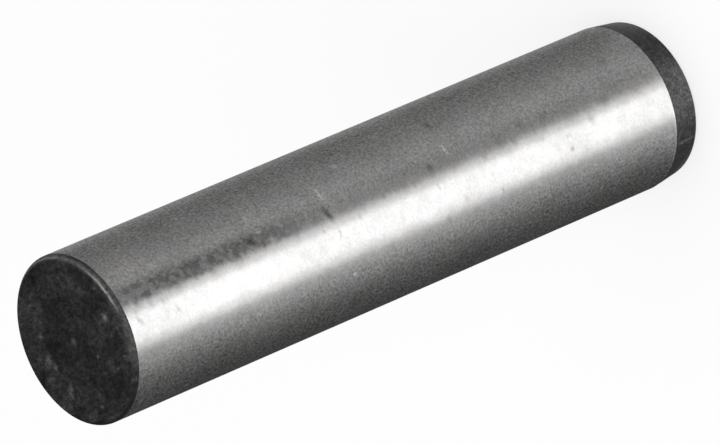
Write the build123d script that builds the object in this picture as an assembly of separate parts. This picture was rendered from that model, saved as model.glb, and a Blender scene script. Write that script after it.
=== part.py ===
from build123d import *
import math
import os

# A hardened steel dowel pin, turned in one piece, with its shank ground to size.
# Sizes are in millimetres. The pin stands on its lead-in end, centred on the origin,
# and +Z runs up its axis to the flat end.

pin_diameter = 8.0  # the ground shank
pin_length = 35.0  # from end face to end face
lead_in_length = 1.6  # the tapered end that finds the hole
lead_in_angle = 8.0  # slope of each side, in degrees
lead_in_edge_radius = 0.3  # tumbled corner round the lower end face
flat_edge_radius = 0.3  # tumbled corner round the upper end face
dimple_diameter = 0.4  # mark left in the upper face where the pin was cut from its bar
dimple_depth = 0.04

# The ground shank runs from the top of the lead-in up to the flat end.
shank_radius = pin_diameter / 2
tip_radius = shank_radius - lead_in_length * math.tan(math.radians(lead_in_angle))


def dimple_arc():
    """Half the section of a shallow round hollow, from its bottom on the axis out to the face."""
    rim_radius = dimple_diameter / 2
    ball_radius = (rim_radius**2 + dimple_depth**2) / (2 * dimple_depth)
    ball_centre = (0, pin_length - dimple_depth + ball_radius)
    half_angle = math.degrees(math.asin(rim_radius / ball_radius))
    return CenterArc(ball_centre, ball_radius, -90, half_angle)


def half_outline():
    """The wall of the pin in the XZ plane, from the lower face's centre to the upper one's."""
    lower_face = Line((0, 0), (tip_radius, 0))
    lead_in = Line((tip_radius, 0), (shank_radius, lead_in_length))
    shank = Line((shank_radius, lead_in_length), (shank_radius, pin_length))
    upper_face = Line((shank_radius, pin_length), (dimple_diameter / 2, pin_length))
    dimple = dimple_arc()
    axis = Line((0, pin_length - dimple_depth), (0, 0))
    return make_face([lower_face, lead_in, shank, upper_face, dimple, axis])


def rounded(face, corner, radius):
    """The face with its corner at this point rounded off."""
    nearest = face.vertices().sort_by_distance(corner)[0]
    return fillet(nearest, radius)


def dowel_pin():
    """The outline, with both outer corners tumbled round, turned about the axis."""
    outline = half_outline()
    outline = rounded(outline, (tip_radius, 0), lead_in_edge_radius)
    outline = rounded(outline, (shank_radius, pin_length), flat_edge_radius)
    return revolve(Plane.XZ * outline, Axis.Z)


pin = dowel_pin()
pin.label = "dowel_pin"

os.makedirs("parts", exist_ok=True)
export_step(pin, "parts/dowel_pin.step")
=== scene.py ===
import bpy
import math
import numpy as np
from mathutils import Matrix, Vector


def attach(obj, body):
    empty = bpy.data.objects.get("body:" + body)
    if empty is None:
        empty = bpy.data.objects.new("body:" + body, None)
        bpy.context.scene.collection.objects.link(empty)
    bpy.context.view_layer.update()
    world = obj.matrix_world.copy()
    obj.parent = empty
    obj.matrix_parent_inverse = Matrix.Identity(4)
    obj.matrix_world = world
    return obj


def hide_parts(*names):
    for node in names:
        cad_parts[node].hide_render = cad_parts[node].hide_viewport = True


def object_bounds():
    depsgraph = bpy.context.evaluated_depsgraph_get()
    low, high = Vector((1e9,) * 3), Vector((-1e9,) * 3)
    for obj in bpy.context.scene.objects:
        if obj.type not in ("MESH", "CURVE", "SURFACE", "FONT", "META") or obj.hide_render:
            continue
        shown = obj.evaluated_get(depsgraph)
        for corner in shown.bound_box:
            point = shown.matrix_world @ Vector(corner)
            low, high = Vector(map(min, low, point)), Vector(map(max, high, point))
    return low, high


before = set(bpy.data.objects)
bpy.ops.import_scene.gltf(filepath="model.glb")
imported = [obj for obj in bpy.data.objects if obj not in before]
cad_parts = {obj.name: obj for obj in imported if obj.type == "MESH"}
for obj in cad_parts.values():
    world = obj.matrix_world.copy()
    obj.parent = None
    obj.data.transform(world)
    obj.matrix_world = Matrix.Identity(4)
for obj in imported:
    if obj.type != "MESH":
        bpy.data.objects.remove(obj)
cadLow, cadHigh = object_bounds()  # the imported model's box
mm = 0.001

# The pin stands on its lead-in end at the origin. Its overall size comes from the imported model's box.
pinTop = cadHigh.z
shankRadius = min(cadHigh.x, cadHigh.y, -cadLow.x, -cadLow.y)


# Pin surface

pin = {
    "name": "dowelPin",
    "leadInLength": 1.6 * mm,  # the tapered end it stands on
    "leadInAngle": 8.0,  # slope of each side, in degrees
    "cornerRadius": 0.3 * mm,  # tumbled corners round both end faces
    "dimpleRadius": 0.2 * mm,  # cutting mark in the upper face
    "dimpleDepth": 0.04 * mm,
    "aroundCount": 384,  # points round each ring
    "faceRings": (12, 30),  # points along the lower and the upper face
    "cornerRings": (12, 14),  # along the lower and the upper corner
    "leadInRings": 14,
    "shankRings": 120,
    "dimpleRings": 6,
}


def arc(centreR, centreZ, radius, startAngle, endAngle, count):
    # count points on a circle in the profile plane, r = cr + R cos a, z = cz + R sin a
    angle = np.radians(np.linspace(startAngle, endAngle, count))
    return np.stack([centreR + radius * np.cos(angle), centreZ + radius * np.sin(angle)], 1)


def straight(startR, startZ, endR, endZ, count):
    # count points evenly spaced on a line in the profile plane
    step = np.linspace(0, 1, count)[:, None]
    return np.array([[startR, startZ]]) * (1 - step) + np.array([[endR, endZ]]) * step


def pinProfile(p):
    # the wall from the lower face's centre, out and up the side, to the upper face's centre,
    # and the number of each run's first ring
    slope = math.radians(p["leadInAngle"])
    corner = p["cornerRadius"]
    tipRadius = shankRadius - p["leadInLength"] * math.tan(slope)
    tangent = corner * math.tan((math.pi / 2 - slope) / 2)  # from the tip's corner to its arc
    ball = (p["dimpleRadius"] ** 2 + p["dimpleDepth"] ** 2) / (2 * p["dimpleDepth"])
    ballAngle = math.degrees(math.asin(p["dimpleRadius"] / ball))  # the dimple is part of a ball
    lowerRings, upperRings = p["faceRings"]
    lowerArc, upperArc = p["cornerRings"]
    cornerBase = pinTop - corner
    runs = {}
    runs["lowerFace"] = straight(0, 0, tipRadius - tangent, 0, lowerRings)
    runs["lowerCorner"] = arc(tipRadius - tangent, corner, corner, -90, -p["leadInAngle"], lowerArc)
    runs["leadIn"] = straight(*runs["lowerCorner"][-1], shankRadius, p["leadInLength"], p["leadInRings"])
    runs["shank"] = straight(shankRadius, p["leadInLength"], shankRadius, cornerBase, p["shankRings"])
    runs["upperCorner"] = arc(shankRadius - corner, cornerBase, corner, 0, 90, upperArc)
    runs["upperFace"] = straight(shankRadius - corner, pinTop, p["dimpleRadius"], pinTop, upperRings)
    runs["dimple"] = arc(0, pinTop - p["dimpleDepth"] + ball, ball, ballAngle - 90, -90, p["dimpleRings"])
    starts = {}
    count = 0
    for name, run in runs.items():
        starts[name] = count
        count += len(run) - 1
    points = np.concatenate([run[:-1] for run in runs.values()] + [runs["dimple"][-1:]])
    return points, starts


def turnedMesh(name, profile, aroundCount):
    # profile turned about Z: x = r cos a, y = r sin a, with one shared point at each end
    angle = np.arange(aroundCount) * 2 * math.pi / aroundCount
    radius, height = profile[1:-1, 0], profile[1:-1, 1]
    rings = len(radius)
    x = radius[:, None] * np.cos(angle)
    y = radius[:, None] * np.sin(angle)
    z = np.repeat(height[:, None], aroundCount, 1)
    wall = np.stack([x, y, z], 2).reshape(-1, 3)
    points = np.concatenate([[[0, 0, profile[0, 1]]], wall, [[0, 0, profile[-1, 1]]]])
    ring = np.arange(rings * aroundCount).reshape(rings, aroundCount) + 1
    onward = np.roll(ring, -1, 1)
    quads = np.stack([ring[:-1], onward[:-1], onward[1:], ring[1:]], 2).reshape(-1, 4)
    lower = np.stack([onward[0], ring[0], np.zeros(aroundCount, int)], 1)
    upper = np.stack([ring[-1], onward[-1], np.full(aroundCount, len(points) - 1)], 1)
    mesh = bpy.data.meshes.new(name)
    mesh.from_pydata(points, [], quads.tolist() + lower.tolist() + upper.tolist())
    mesh.update()
    mesh.shade_smooth()
    return mesh


def markSurfaces(mesh, starts, aroundCount):
    # the shank's faces take the first material, both end faces the second and the lead-in the third,
    # and the ring where the lead-in meets the shank is a sharp edge
    row = np.arange(len(mesh.polygons)) // aroundCount + 1  # ring below each row of quads
    ground = (row >= starts["shank"]) & (row < starts["upperCorner"])
    leadIn = (row >= starts["lowerCorner"]) & (row < starts["shank"])
    mesh.polygons.foreach_set("material_index", np.select([ground, leadIn], [0, 2], 1).astype(np.int32))
    ends = np.empty(len(mesh.edges) * 2, np.int32)
    mesh.edges.foreach_get("vertices", ends)
    edgeRing = (ends.reshape(-1, 2) - 1) // aroundCount + 1
    mesh.edges.foreach_set("use_edge_sharp", (edgeRing == starts["shank"]).all(1))
    mesh.update()


profile, runStarts = pinProfile(pin)
pinMesh = turnedMesh(pin["name"], profile, pin["aroundCount"])
pinPiece = bpy.data.objects.new(pin["name"], pinMesh)
bpy.context.collection.objects.link(pinPiece)
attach(pinPiece, "root")
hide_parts("dowel_pin")
print("pin surface made,", len(pinMesh.polygons), "faces")


# Node helpers

def newMaterial(name):
    material = bpy.data.materials.new(name)
    material.use_nodes = True
    return material, material.node_tree.nodes["Principled BSDF"]


def setInputs(material, node, inputs):
    # inputs maps a socket's name or number to a plain value or to another node's output
    for key, value in inputs.items():
        if isinstance(value, bpy.types.NodeSocket):
            material.node_tree.links.new(value, node.inputs[key])
        else:
            node.inputs[key].default_value = value


def addNode(material, kind, inputs=None, **settings):
    node = material.node_tree.nodes.new("ShaderNode" + kind)
    for name, value in settings.items():
        setattr(node, name, value)
    setInputs(material, node, inputs or {})
    return node


def maths(material, operation, *values):
    return addNode(material, "Math", dict(enumerate(values)), operation=operation).outputs[0]


def product(material, *values):
    total = values[0]
    for value in values[1:]:
        total = maths(material, "MULTIPLY", total, value)
    return total


def noise(material, where, scale, detail=1.0, stretch=(1, 1, 1)):
    # cloud noise of scale cells to the millimetre, from 0 to 1 and mostly near 0.5
    mapped = addNode(material, "Mapping", {"Vector": where, "Scale": stretch}).outputs[0]
    return addNode(material, "TexNoise", {"Vector": mapped, "Scale": scale, "Detail": detail}).outputs[0]


def fade(material, value, low, high, atLow=0.0, atHigh=1.0):
    # a smooth step from atLow to atHigh while the value goes from low to high
    sockets = {"Value": value, "From Min": low, "From Max": high, "To Min": atLow, "To Max": atHigh}
    return addNode(material, "MapRange", sockets, interpolation_type="SMOOTHSTEP").outputs[0]


def swing(material, value, amount):
    # 1 + amount * (value - 0.5), a tone factor from a noise
    return maths(material, "MULTIPLY_ADD", maths(material, "SUBTRACT", value, 0.5), amount, 1.0)


def grey(material, value, tint):
    # a colour from one tone and a tint
    return addNode(material, "VectorMath", {0: tint, "Scale": value}, operation="SCALE").outputs[0]


def seenPlain(material):
    # 1 for the camera, reflections and refractions, and 0 where light is gathered
    path = addNode(material, "LightPath").outputs
    seen = maths(material, "MAXIMUM", path["Is Camera Ray"], path["Is Glossy Ray"])
    return maths(material, "MAXIMUM", seen, path["Is Transmission Ray"])


def pinPlaces(material):
    # the point in millimetres, its height, its distance from the axis, and its azimuth in degrees,
    # 0 towards the camera's side and positive towards the picture's lower side
    start = addNode(material, "TexCoord").outputs["Object"]
    point = addNode(material, "VectorMath", {0: start, "Scale": 1 / mm}, operation="SCALE").outputs[0]
    parts = addNode(material, "SeparateXYZ", {0: point}).outputs
    backX = maths(material, "MULTIPLY", parts[0], -1.0)
    backY = maths(material, "MULTIPLY", parts[1], -1.0)
    azimuth = maths(material, "DEGREES", maths(material, "ARCTAN2", backX, backY))
    flat = addNode(material, "CombineXYZ", {0: parts[0], 1: parts[1]}).outputs[0]
    radius = addNode(material, "VectorMath", {0: flat}, operation="LENGTH").outputs["Value"]
    return {"point": point, "height": parts[2], "radius": radius, "azimuth": azimuth, "flat": flat}


def frayed(material, where, point, scale, amount):
    # places shifted a little by a noise, so that an outline worked out from them isn't clean
    shift = addNode(material, "TexNoise", {"Vector": point, "Scale": scale, "Detail": 2.0}).outputs["Color"]
    sockets = {0: shift, 1: (amount, amount, 0), 2: where}
    moved = addNode(material, "VectorMath", sockets, operation="MULTIPLY_ADD").outputs[0]
    sockets = {0: moved, 1: (amount / 2, amount / 2, 0)}
    return addNode(material, "VectorMath", sockets, operation="SUBTRACT").outputs[0]


markEdge = (0.1, 1.35)  # a mark fades out between these shares of its half sizes


def markFactor(material, where, marks):
    # the product of all marks; each is a soft ellipse at a place with its two half sizes,
    # a turn in degrees, and the tone factor at its middle
    total = 1.0
    for across, along, halfAcross, halfAlong, turn, factor in marks:
        sockets = {0: where, 1: (across, along, 0)}
        centred = addNode(material, "VectorMath", sockets, operation="SUBTRACT").outputs[0]
        sockets = {"Vector": centred, "Rotation": (0, 0, math.radians(turn))}
        turned = addNode(material, "Mapping", sockets).outputs[0]
        sockets = {"Vector": turned, "Scale": (1 / halfAcross, 1 / halfAlong, 0)}
        sized = addNode(material, "Mapping", sockets).outputs[0]
        away = addNode(material, "VectorMath", {0: sized}, operation="LENGTH").outputs["Value"]
        total = product(material, fade(material, away, *markEdge, factor, 1.0), total)
    return total


# Ground steel, on the shank

alongPin = 0.25  # the quarter turn that draws a highlight out along the pin

# In this dictionary and the next, a fade is the two values that it runs between and then, if it
# isn't from 0 to 1, its factor at each. Heights and radii are in millimetres and azimuths in
# degrees. Cells are a noise's scale and its detail.
steelLook = {
    "tone": 0.56,
    "coolTint": (1.0, 1.0, 0.998, 1),
    "warmTint": (1.0, 0.990, 0.968, 1),
    "tintCells": (0.8, 3.0),
    "tintFade": (0.36, 0.64),
    "roughness": 0.36,
    "roughnessSwing": 0.2,
    "anisotropy": 1.0,
    "cloudCells": (0.35, 2.0),
    "cloud": 0.32,  # tone swing of patches of some millimetres
    "blotchCells": (1.7, 2.0, (1, 1, 1.3)),
    "blotch": 0.26,  # of half a millimetre
    "grainCells": (9.0, 0.5),
    "grain": 1.05,  # of the fine grain
    "ragged": 0.0048,  # bump heights in millimetres, of the blotches
    "pitted": 0.0004,  # and of the fine grain
    "smoothStrip": 8,  # azimuth of a strip along the highlight where the grain is faint
    "smoothStripEdge": (13, 27),  # degrees from its middle
    "smoothStripGrain": 0.28,  # share of the grain that is left on it
    "flankGrain": (36, 66, 1.0, 1.8),  # the grain is stronger on both flanks
    "backGrain": (85, 110, 1.0, 0.56),  # and fades again towards the back
    "lowerGrain": (18, 34, 1.0, 1.2),
    "edgeLine": (1.62, 1.72, 0.45, 0.0),  # lighter line above the lead-in, by height
    "edgeLineSide": (12, 24),  # azimuths over which it comes up
    "darkReflectionStart": (-24, -16),  # painted dark reflection along the pin, beside the highlight, by azimuth
    "darkReflectionEnd": (-10, -5, 1, 0),
    "darkReflectionFoot": (21.4, 27.4, 0.12, 1.0),  # and by height
    "darkReflectionHead": (33.6, 34.8, 1, 0.7),
    "darkReflectionWander": 9.0,  # degrees that its sides wander
    "breakCells": (3.2, 4.0),
    "darkReflectionBreaks": (0.38, 0.60, 0.45, 1.3),
    "darkReflectionFactor": 0.60,  # tone factor of the full painted dark reflection
    "markRadius": 4.0,  # the shank is unrolled at this radius to place its marks
    "markFray": (6.0, 0.2),  # cells to the millimetre, and millimetres
    "skinHeight": (34.72, 34.78),  # where the dark skin of the corner begins
    "skinWander": 0.16,
    "skinSide": (-40, -12, 0.4, 0.1),
}

# Marks on the shank: degrees round it and height, half sizes across and along, turn and factor.
shankMarks = [
    (-54.5, 28.96, 0.13, 0.104, 0, 1.57),
    (-41, 26.12, 0.208, 0.085, 30, 1.33),
    (-30.5, 26.32, 0.104, 0.104, 0, 1.46),
    (-17.5, 26.16, 0.085, 0.182, 0, 1.75),
    (-14, 26.84, 0.3, 0.2, 25, 0.62),
    (-12, 31.2, 0.26, 0.2, -20, 0.66),
    (-25.5, 22.08, 0.44, 0.085, 0, 1.58),
    (-11, 22.3, 0.462, 0.187, 12, 0.4),
    (3.5, 22.12, 0.33, 0.085, -8, 0.77),
    (-1.5, 22.92, 0.13, 0.085, 0, 0.79),
    (-1.5, 20.76, 0.182, 0.085, 20, 0.82),
    (33, 21.8, 0.117, 0.117, 0, 1.69),
    (-41, 20.24, 0.117, 0.117, 0, 1.46),
    (-49, 12.88, 0.085, 0.182, 0, 1.33),
    (-42, 14.44, 0.26, 0.182, 20, 0.53),
    (-30.5, 14.24, 0.156, 0.085, 20, 1.29),
    (-20.5, 14.68, 0.286, 0.085, 0, 1.75),
    (-13, 15.96, 0.28, 0.22, 30, 0.66),
    (1.5, 16.0, 0.208, 0.085, 0, 0.77),
    (19.5, 12.52, 0.182, 0.085, 10, 0.71),
    (52, 10.8, 0.104, 0.104, 0, 1.46),
    (-1.5, 9.4, 0.208, 0.085, -20, 0.82),
    (12.5, 8.0, 0.17, 0.15, 0, 0.62),
    (4.5, 34.12, 0.312, 0.156, 30, 0.68),
    (6.5, 31.92, 0.364, 0.13, 20, 0.8),
    (-1.5, 32.56, 0.208, 0.104, 0, 0.8),
    (63.5, 34.2, 0.182, 0.156, 0, 2.15),
    (50.5, 34.6, 0.13, 0.085, 0, 1.66),
    (0, 6.4, 0.3, 0.2, 20, 0.8),
    (3.5, 8.0, 0.12, 0.22, 0, 0.84),
    (14.5, 14.72, 0.22, 0.16, 0, 0.84),
    (25.5, 10.28, 0.14, 0.1, 0, 1.25),
    (-11.5, 11.7, 0.6, 0.35, 0, 0.88),
    (-15, 8.92, 0.35, 0.4, 0, 0.82),
    (-15.5, 10.2, 0.4, 0.28, 0, 0.8),
    (-1, 34.16, 0.2, 0.12, 0, 0.84),
    (-2, 33.2, 0.24, 0.16, 0, 0.84),
    (-11.5, 25.76, 0.16, 0.2, 0, 1.3),
    (69, 31.32, 0.14, 0.12, 0, 1.7),
    (60.5, 32.52, 0.2, 0.3, 0, 1.25),
    (61, 27.8, 0.12, 0.12, 0, 1.4),
    (48.5, 6.28, 0.18, 0.14, 0, 1.35),
    (45, 7.24, 0.12, 0.12, 0, 1.35),
    (-62, 12.04, 0.45, 0.3, 0, 0.86),
    (-36.5, 3.92, 0.4, 0.3, 0, 0.88),
    (-37.5, 29.12, 0.5, 0.4, 0, 0.9),
    (-33.5, 20.96, 0.4, 0.4, 0, 0.88),
    (-16, 2.56, 0.3, 0.24, 0, 0.86),
    (-26, 32.04, 0.22, 0.3, 0, 1.15),
    (-7, 19.1, 0.16, 0.22, 20, 0.8),
    (-6.5, 17.2, 0.18, 0.14, 0, 0.78),
    (-5.5, 12.9, 0.3, 0.2, -20, 0.8),
    (-6, 11.0, 0.24, 0.16, 30, 0.78),
    (-8, 5.2, 0.34, 0.3, 0, 0.84),
    (-6.5, 3.3, 0.3, 0.22, 20, 0.84),
    (25, 19.4, 0.2, 0.14, 0, 0.86),
    (24, 15.9, 0.24, 0.16, 30, 0.84),
    (26, 25.3, 0.2, 0.16, 0, 0.88),
]


def grainStrength(steel, azimuth, look):
    # strength of the fine grain: faint on the strip along the highlight, stronger on both flanks
    offStrip = maths(steel, "ABSOLUTE", maths(steel, "SUBTRACT", azimuth, look["smoothStrip"]))
    least = look["smoothStripGrain"] * look["grain"]
    strength = fade(steel, offStrip, *look["smoothStripEdge"], least, look["grain"])
    aside = maths(steel, "ABSOLUTE", azimuth)
    flank = product(steel, fade(steel, aside, *look["flankGrain"]), fade(steel, aside, *look["backGrain"]))
    return product(steel, strength, product(steel, flank, fade(steel, azimuth, *look["lowerGrain"])))


def paintedDarkReflection(steel, places, blotch, look):
    # the share of the painted dark reflection beside the highlight: it fades in and out across and along,
    # and is broken up
    offset = maths(steel, "SUBTRACT", places["azimuth"], look["darkReflectionWander"] / 2)
    wander = maths(steel, "MULTIPLY_ADD", blotch, look["darkReflectionWander"], offset)
    height = places["height"]
    breaks = noise(steel, places["point"], *look["breakCells"])
    across = product(steel, fade(steel, wander, *look["darkReflectionStart"]),
                     fade(steel, wander, *look["darkReflectionEnd"]))
    along = product(steel, fade(steel, height, *look["darkReflectionFoot"]),
                    fade(steel, height, *look["darkReflectionHead"]))
    return product(steel, across, along, fade(steel, breaks, *look["darkReflectionBreaks"]))


def wearMarks(steel, places, look):
    # the marks lie on the unrolled surface, in millimetres, with their outlines a little frayed
    aroundDegree = look["markRadius"] * math.pi / 180  # millimetres round the shank for each degree
    around = maths(steel, "MULTIPLY", places["azimuth"], aroundDegree)
    surface = addNode(steel, "CombineXYZ", {0: around, 1: places["height"]}).outputs[0]
    marks = [(degrees * aroundDegree, *rest) for degrees, *rest in shankMarks]
    return markFactor(steel, frayed(steel, surface, places["point"], *look["markFray"]), marks)


def groundSteel(look):
    steel, shader = newMaterial("groundSteel")
    places = pinPlaces(steel)
    point, azimuth, height = places["point"], places["azimuth"], places["height"]
    cloud = noise(steel, point, *look["cloudCells"])
    blotch = noise(steel, point, *look["blotchCells"])
    grain = noise(steel, point, *look["grainCells"])
    # tone: patches, blotches and grain
    tone = product(steel, swing(steel, cloud, look["cloud"]), swing(steel, blotch, look["blotch"]))
    tone = product(steel, tone, swing(steel, grain, grainStrength(steel, azimuth, look)))
    # a lighter line above the lead-in, the painted dark reflection and the marks
    line = product(steel, fade(steel, height, *look["edgeLine"]),
                   fade(steel, azimuth, *look["edgeLineSide"]))
    tone = product(steel, tone, maths(steel, "ADD", line, 1.0))
    # a dark reflection beside the highlight, painted into the tone
    darkReflection = paintedDarkReflection(steel, places, blotch, look)
    tone = product(steel, tone, maths(steel, "MULTIPLY_ADD", darkReflection, look["darkReflectionFactor"] - 1, 1.0))
    tone = product(steel, tone, wearMarks(steel, places, look))
    # the dark skin of the corner ends in a ragged line
    raggedHeight = maths(steel, "MULTIPLY_ADD", blotch, look["skinWander"], height)
    skin = product(steel, fade(steel, raggedHeight, *look["skinHeight"]),
                   fade(steel, azimuth, *look["skinSide"]))
    tone = product(steel, tone, maths(steel, "SUBTRACT", 1.0, skin), look["tone"])
    # the colour drifts a little between a cool and a warm grey
    drift = fade(steel, noise(steel, point, *look["tintCells"]), *look["tintFade"])
    hues = {0: drift, 6: look["coolTint"], 7: look["warmTint"]}
    tint = addNode(steel, "Mix", hues, data_type="RGBA").outputs[2]
    relief = maths(steel, "MULTIPLY_ADD", blotch, look["ragged"], product(steel, grain, look["pitted"]))
    setInputs(steel, shader, {
        "Base Color": grey(steel, tone, tint),
        "Metallic": 1,
        "Roughness": product(steel, swing(steel, blotch, look["roughnessSwing"]), look["roughness"]),
        "Anisotropic": look["anisotropy"],
        "Anisotropic Rotation": alongPin,
        "Normal": addNode(steel, "Bump", {"Height": relief, "Distance": mm}).outputs[0],
    })
    return steel


# Dark oxide, on both end faces, their corners and the lead-in

oxideLook = {
    "name": "darkOxide",
    "tone": 0.036,
    "tint": (1.0, 1.0, 1.0),
    "metallic": 0.6,  # heat scale has a dull metallic sheen
    "roughness": 0.46,
    "roughnessSwing": 0.4,
    "anisotropy": 0.0,
    "stretch": (1, 0.6, 1),  # patches are longer along Y
    "cloudCells": (0.7, 3.0),
    "cloud": 3.2,  # tone swing of patches of a millimetre or two
    "mottleCells": (4.0, 2.0),
    "mottle": 2.3,  # of a quarter of a millimetre
    "grainCells": (9.0, 0.5),
    "grain": 1.4,
    "ringCells": (3.2, 2.0),
    "turning": 0.8,  # faint rings left by the cutting tool
    "least": 0.3,  # none of these four takes the tone below this share
    "grooves": 0.004,  # bump heights in millimetres, of the rings
    "pitted": 0.008,  # and of the mottle
    "beltRadius": 2.6,  # a paler belt on the faces
    "beltFade": (0.1, 0.9, 0.4, 0.0),  # by the distance from that radius
    "beltCells": (0.9, 2.0),
    "beltBreaks": (0.42, 0.62),
    "patchFray": (3.5, 0.5),  # cells to the millimetre, and millimetres
    "speckCells": (2.4, 3.0),
    "speckFade": (0.62, 0.76),
    "speck": 0.035,  # tone added by pale specks
    "centre": (0.03, 0.30, 0.08, 0),  # tone added in the cutting mark, by radius
    "upperHeight": (34.0, 34.3),  # the corner's finish is on the upper end alone
    "cornerRadius": (3.82, 3.90),
    "cornerShade": (-25, 5, 1.1, 0.67),  # painted light and shade on the corner, by azimuth: lighter on the upper side, darker towards the lower side
    "lowerShade": (13, 45, 1.0, 0.5),
    "cornerRoughness": 0.12,  # added on the corner
    "bandTone": 0.10,  # rubbed band on the corner, mostly bare metal
    "bandMetal": 0.8,
    "bandRadius": (3.76, 3.84),
    "bandHeight": (34.84, 34.96),
    "bandWander": 0.12,
    "bandPatches": (0.2, 0.7, 0.3, 1.0),
    "bandSide": (-25, -5, 1.0, 0.0),
    "wornTone": 0.36,  # worn line along the corner
    "wornRadius": 3.885,
    "wornFade": (0.0, 0.055, 1, 0),  # by the distance from that radius
    "wornWander": 0.12,
    "wornCells": (1.6, 3.0),
    "wornPatches": (0.34, 0.62, 0.12, 1.0),
    "wornStart": (-46, -30, 0.45, 1.0),
    "wornEnd": (-22, -2, 1.0, 0.06),
}

# The lead-in's sheen is drawn out along the pin by its turning marks.
leadInLook = {
    **oxideLook,
    "name": "leadInOxide",
    "tone": 0.064,
    "metallic": 0.8,
    "roughness": 0.50,
    "anisotropy": 0.75,
    "stretch": (1, 1, 1),
    "cloud": 0.9,
    "mottle": 1.3,
    "grain": 1.7,
    "turning": 0.3,
    "speck": 0.01,
}

# Dark and pale patches on the upper face, and painted light along its rim towards the lamp: x and y in
# millimetres, half sizes, turn and factor.
faceMarks = [
    (1.26, 0.03, 1.2, 1.3, 0, 0.66),
    (-2.42, -1.63, 0.9, 1.3, 0, 0.60),
    (3.28, 0.09, 0.6, 1.4, 0, 0.80),
    (0.41, -2.88, 0.32, 0.24, 20, 2.4),
    (-1.01, -1.24, 0.20, 0.16, 0, 2.2),
    (-0.77, 2.10, 0.32, 0.22, 40, 2.6),
    (-0.33, 2.38, 0.40, 0.26, 60, 2.4),
    (-1.20, 2.82, 0.40, 0.30, 40, 2.2),
    (-1.92, 1.62, 0.40, 0.24, 30, 2.4),
    (0.78, 2.15, 0.18, 0.20, 0, 2.0),
    (1.70, 1.90, 0.70, 0.80, 0, 0.8),
    (2.33, 0.67, 0.16, 0.18, 0, 2.2),
    (-3.40, 0.90, 0.26, 0.50, 0, 2.2),
    (-3.70, -0.55, 0.16, 0.50, 10, 2.0),
    (-1.50, -3.20, 0.26, 0.30, 0, 1.7),
    # painted light: the face's rim is lighter on the side towards the lamp
    (0.0, -3.55, 1.3, 0.32, 0, 1.5),
]

# Pale specks there: x, y, size and factor.
faceSpecks = [
    (1.78, -2.97, 0.09, 3.2),
    (-3.14, -0.05, 0.11, 3.6),
    (0.45, -2.90, 0.12, 2.4),
    (-1.02, -1.21, 0.10, 2.6),
    (-1.45, -3.10, 0.10, 2.2),
    (-2.58, -2.92, 0.10, 2.2),
    (2.23, 2.04, 0.09, 1.9),
    (-0.78, 2.10, 0.10, 2.0),
    (-1.16, 2.55, 0.10, 1.8),
    (-1.86, -2.30, 0.09, 2.2),
    (2.15, -1.39, 0.09, 2.3),
    (0.77, 2.12, 0.09, 1.8),
    (1.52, 2.06, 0.08, 2.0),
    (-0.42, -2.81, 0.09, 1.8),
]
speckShape = (0.85, 1.4)  # half sizes along X and Y for each unit of size


def paleBelt(oxide, places, look):
    # 1 plus the share that the broken belt adds
    away = maths(oxide, "ABSOLUTE", maths(oxide, "SUBTRACT", places["radius"], look["beltRadius"]))
    breaks = noise(oxide, places["point"], *look["beltCells"])
    belt = product(oxide, fade(oxide, away, *look["beltFade"]), fade(oxide, breaks, *look["beltBreaks"]))
    return maths(oxide, "ADD", belt, 1.0)


def facePatches(oxide, places, look):
    flat = places["flat"]
    patches = markFactor(oxide, frayed(oxide, flat, places["point"], *look["patchFray"]), faceMarks)
    across, along = speckShape
    specks = [(x, y, across * size, along * size, 0, factor) for x, y, size, factor in faceSpecks]
    return patches, markFactor(oxide, flat, specks)


def cornerWear(oxide, places, mottle, upper, look):
    # the rubbed band and the worn line on the upper corner, each from 0 to 1
    radius, azimuth = places["radius"], places["azimuth"]
    bandHeight = maths(oxide, "MULTIPLY_ADD", mottle, look["bandWander"], places["height"])
    bandStart = fade(oxide, bandHeight, *look["bandHeight"])
    band = product(oxide, fade(oxide, radius, *look["bandRadius"]), bandStart, upper,
                   fade(oxide, mottle, *look["bandPatches"]), fade(oxide, azimuth, *look["bandSide"]))
    wander = noise(oxide, places["point"], *look["wornCells"])
    patchy = fade(oxide, wander, *look["wornPatches"])
    wornPlace = maths(oxide, "MULTIPLY_ADD", wander, look["wornWander"], radius)
    middle = look["wornRadius"] + look["wornWander"] / 2
    away = maths(oxide, "ABSOLUTE", maths(oxide, "SUBTRACT", wornPlace, middle))
    worn = product(oxide, fade(oxide, away, *look["wornFade"]), product(oxide, upper, patchy),
                   fade(oxide, azimuth, *look["wornStart"]), fade(oxide, azimuth, *look["wornEnd"]))
    return band, worn


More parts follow.
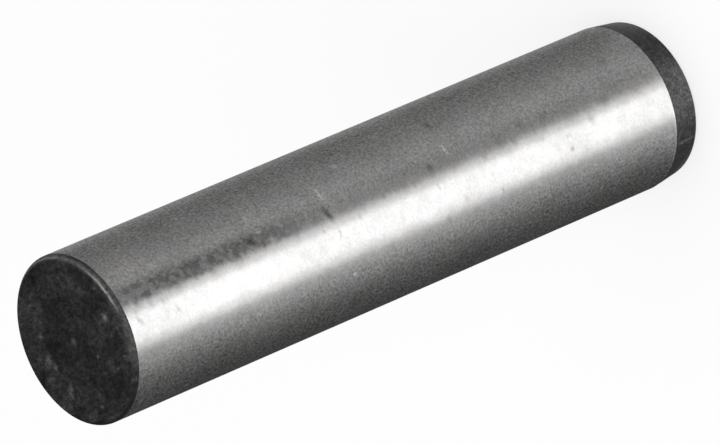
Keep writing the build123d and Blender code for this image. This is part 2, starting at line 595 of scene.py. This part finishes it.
def darkOxide(look):
    oxide, shader = newMaterial(look["name"])
    places = pinPlaces(oxide)
    point, radius, azimuth = places["point"], places["radius"], places["azimuth"]
    cloud = noise(oxide, point, *look["cloudCells"], look["stretch"])
    mottle = noise(oxide, point, *look["mottleCells"], look["stretch"])
    grain = noise(oxide, point, *look["grainCells"], look["stretch"])
    speckle = noise(oxide, point, *look["speckCells"], look["stretch"])
    # rings: a noise that changes with the distance from the axis alone
    ringPoint = addNode(oxide, "CombineXYZ", {0: radius}).outputs[0]
    rings = noise(oxide, ringPoint, *look["ringCells"])
    swings = [(cloud, "cloud"), (mottle, "mottle"), (grain, "grain"), (rings, "turning")]
    tone = product(oxide, *[maths(oxide, "MAXIMUM", swing(oxide, value, look[name]), look["least"])
                            for value, name in swings])
    tone = product(oxide, tone, paleBelt(oxide, places, look), *facePatches(oxide, places, look))
    # painted light and shade on the corner round the pin
    upper = fade(oxide, places["height"], *look["upperHeight"])
    corner = product(oxide, fade(oxide, radius, *look["cornerRadius"]), upper)
    shade = product(oxide, fade(oxide, azimuth, *look["cornerShade"]),
                    fade(oxide, azimuth, *look["lowerShade"]))
    shade = maths(oxide, "MULTIPLY_ADD", corner, maths(oxide, "SUBTRACT", shade, 1.0), 1.0)
    tone = product(oxide, tone, product(oxide, shade, look["tone"]))
    # pale specks, the cutting mark and the wear on the corner
    band, worn = cornerWear(oxide, places, mottle, upper, look)
    bare = maths(oxide, "MULTIPLY_ADD", worn, look["wornTone"], product(oxide, band, look["bandTone"]))
    specks = product(oxide, fade(oxide, speckle, *look["speckFade"]), look["speck"])
    for added in (specks, fade(oxide, radius, *look["centre"]), bare):
        tone = maths(oxide, "ADD", tone, added)
    rough = product(oxide, swing(oxide, mottle, look["roughnessSwing"]), look["roughness"])
    wear = maths(oxide, "MAXIMUM", band, worn)
    relief = maths(oxide, "MULTIPLY_ADD", rings, look["grooves"], product(oxide, mottle, look["pitted"]))
    setInputs(oxide, shader, {
        "Base Color": grey(oxide, tone, look["tint"]),
        "Metallic": fade(oxide, wear, 0.0, 1.0, look["metallic"], look["bandMetal"]),
        "Roughness": maths(oxide, "MULTIPLY_ADD", corner, look["cornerRoughness"], rough),
        "Anisotropic": look["anisotropy"],
        "Anisotropic Rotation": alongPin,
        "Normal": addNode(oxide, "Bump", {"Height": relief, "Distance": mm}).outputs[0],
    })
    return oxide


pinMesh.materials.append(groundSteel(steelLook))
pinMesh.materials.append(darkOxide(oxideLook))
pinMesh.materials.append(darkOxide(leadInLook))
markSurfaces(pinMesh, runStarts, pin["aroundCount"])
print("finishes made")


# Floor

floorCard = {
    "colour": (0.93, 0.93, 0.93, 1),
    "roughness": 0.9,
    "side": 6.0,
    "plainShare": 0.7,  # share of plain white that the camera and reflections see in it
}


def plainFloor(card):
    # one square at the height of the pin's foot
    half = card["side"] / 2
    mesh = bpy.data.meshes.new("floor")
    corners = [(-half, -half, 0), (half, -half, 0), (half, half, 0), (-half, half, 0)]
    mesh.from_pydata(corners, [], [(0, 1, 2, 3)])
    paint, shader = newMaterial("floorPaint")
    setInputs(paint, shader, {
        "Base Color": card["colour"],
        "Roughness": card["roughness"],
        "Specular IOR Level": 0,
    })
    share = product(paint, seenPlain(paint), card["plainShare"])
    white = addNode(paint, "Emission").outputs[0]
    both = addNode(paint, "MixShader", {0: share, 1: shader.outputs[0], 2: white}).outputs[0]
    setInputs(paint, paint.node_tree.nodes["Material Output"], {"Surface": both})
    paint.cycles.emission_sampling = "NONE"
    mesh.materials.append(paint)
    floor = bpy.data.objects.new("floor", mesh)
    bpy.context.collection.objects.link(floor)


plainFloor(floorCard)
print("floor made")


# Grey cards

# A small dim studio for the polished steel to mirror, as cards round a product on a table. Only
# reflections see it. Azimuth 0 is the camera's side, and a positive one turns towards the
# picture's lower side. The open slot shows the lamp and the floor.
cards = {
    "floorHeight": 0.05 * mm,
    "wallHeight": 2.4,  # the last row stands up as a wall
    "reaches": [-0.25 * mm, 1 * mm, 2 * mm, 4 * mm, 8 * mm, 16 * mm, 32 * mm, 64 * mm, 0.15, 0.6],
    "slot": (-1.5, 29.5),  # azimuths that stay open
    # azimuths and how bright the cards are there
    "levels": [(-172, 0.08), (-160, 0.36), (-148, 0.43), (-132, 0.31), (-116, 0.206), (-84, 0.312),
               (-60, 0.417), (-50, 0.475), (-28, 0.40), (-14, 0.42), (-4, 0.50), (30, 0.88), (44, 0.76),
               (52, 0.66), (60, 0.54), (72, 0.38), (84, 0.25), (100, 0.16), (116, 0.105), (140, 0.08),
               (170, 0.06)],
    "footReach": 1.5 * mm,  # nearer than this only the lead-in mirrors the cards
    "footLevels": [(-172, 0.90), (-148, 0.95), (-124, 0.85), (-108, 0.75), (-92, 0.45), (-76, 0.26),
                   (-60, 0.28), (-44, 0.48), (-28, 0.70), (-12, 1.0), (31, 1.1), (44, 0.80), (60, 0.52),
                   (76, 0.40), (92, 0.32), (116, 0.26), (140, 0.24), (170, 0.30)],
    "steps": 361,  # points round each row
}


def greyCards(c):
    # for each direction a that the shank mirrors sideways, the card's points stand at the reach d
    # from the shank, which has its normal at the azimuth a / 2 there:
    # x = -R sin(a / 2) - d sin a, y = -R cos(a / 2) - d cos a
    azimuth = np.linspace(c["slot"][1], 360 + c["slot"][0], c["steps"])
    angle = np.radians(azimuth)
    half = np.radians((azimuth + 180) % 360 - 180) / 2
    rows = [(reach, c["floorHeight"]) for reach in c["reaches"]] + [(c["reaches"][-1], c["wallHeight"])]
    points = [np.stack([-shankRadius * np.sin(half) - reach * np.sin(angle),
                        -shankRadius * np.cos(half) - reach * np.cos(angle),
                        np.full(len(angle), height)], 1) for reach, height in rows]
    ring = np.arange(len(rows) * len(angle)).reshape(len(rows), len(angle))
    quads = np.stack([ring[:-1, :-1], ring[:-1, 1:], ring[1:, 1:], ring[1:, :-1]], 2).reshape(-1, 4)
    mesh = bpy.data.meshes.new("greyCards")
    mesh.from_pydata(np.concatenate(points), [], quads.tolist())
    wide, foot = np.array(c["levels"]), np.array(c["footLevels"])
    wideLevel = np.interp(azimuth, wide[:, 0], wide[:, 1], period=360)
    footLevel = np.interp(azimuth, foot[:, 0], foot[:, 1], period=360)
    level = np.concatenate([footLevel if reach < c["footReach"] else wideLevel for reach, height in rows])
    mesh.attributes.new("level", "FLOAT", "POINT").data.foreach_set("value", level)
    paint = bpy.data.materials.new("cardPaint")
    paint.use_nodes = True
    paint.node_tree.nodes.clear()
    attribute = addNode(paint, "Attribute", attribute_name="level")
    glow = addNode(paint, "Emission", {"Strength": attribute.outputs["Fac"]})
    addNode(paint, "OutputMaterial", {"Surface": glow.outputs[0]})
    paint.cycles.emission_sampling = "NONE"
    mesh.materials.append(paint)
    card = bpy.data.objects.new("greyCards", mesh)
    bpy.context.collection.objects.link(card)
    card.visible_camera = False
    card.visible_diffuse = False
    card.visible_transmission = False
    card.visible_volume_scatter = False
    card.visible_shadow = False


greyCards(cards)
print("grey cards made")


# Light

softLight = {
    "azimuth": 13.5,  # the lamp stands in the cards' slot
    "elevation": 13,
    "distance": 0.9,
    "width": 0.8,
    "height": 0.4,
    "power": 7.2,
    "worldLevel": 0.9,
}


def placeLamp(name, p):
    # a rectangular lamp on a sphere round the pin's middle, facing it, with its height upright
    a, e = math.radians(p["azimuth"]), math.radians(p["elevation"])
    outward = Vector((-math.sin(a) * math.cos(e), -math.cos(a) * math.cos(e), math.sin(e)))
    lamp = bpy.data.objects.new(name, bpy.data.lights.new(name, "AREA"))
    lamp.data.shape = "RECTANGLE"
    lamp.data.size = p["width"]
    lamp.data.size_y = p["height"]
    lamp.data.energy = p["power"]
    lamp.location = Vector((0, 0, pinTop / 2)) + outward * p["distance"]
    lamp.rotation_euler = outward.to_track_quat("Z", "Y").to_euler()
    bpy.context.collection.objects.link(lamp)


def studioWorld(level):
    # even light at the level given; the camera and reflections see plain white
    world = bpy.data.worlds.new("studio")
    world.use_nodes = True
    strength = maths(world, "MULTIPLY_ADD", seenPlain(world), 1 - level, level)
    background = world.node_tree.nodes["Background"]
    setInputs(world, background, {"Color": (1, 1, 1, 1), "Strength": strength})
    bpy.context.scene.world = world


placeLamp("keyLamp", softLight)
studioWorld(softLight["worldLevel"])
bpy.context.scene.view_settings.view_transform = "Standard"
print("light made")


# Camera

# The pin's upper face sits left of and below the picture's middle, and the camera is rolled
# so that the standing pin lies across the picture.
view = {
    "lens": 466.2,
    "elevation": 37.155,
    "roll": -113.166,
    "distance": 411.17 * mm,
    "faceRight": -12.62 * mm,  # from the picture's middle to the upper face's
    "faceUp": -5.29 * mm,
    "sensorWidth": 36,
    "clip": (0.01, 20),
}


def placeCamera(v):
    e, roll = math.radians(v["elevation"]), math.radians(v["roll"])
    back = Vector((0, -math.cos(e), math.sin(e)))
    right = Vector((1, 0, 0))
    up = back.cross(right)
    localX = math.cos(roll) * right + math.sin(roll) * up
    localY = math.cos(roll) * up - math.sin(roll) * right
    turn = Matrix((localX, localY, back)).transposed()
    camera = bpy.data.objects.new("camera", bpy.data.cameras.new("camera"))
    camera.data.sensor_width = v["sensorWidth"]
    camera.data.lens = v["lens"]
    camera.data.clip_start, camera.data.clip_end = v["clip"]
    faceCentre = Vector((0, 0, pinTop))
    camera.location = faceCentre - turn @ Vector((v["faceRight"], v["faceUp"], -v["distance"]))
    camera.rotation_euler = turn.to_euler()
    bpy.context.collection.objects.link(camera)
    bpy.context.scene.camera = camera


placeCamera(view)
print("camera placed")
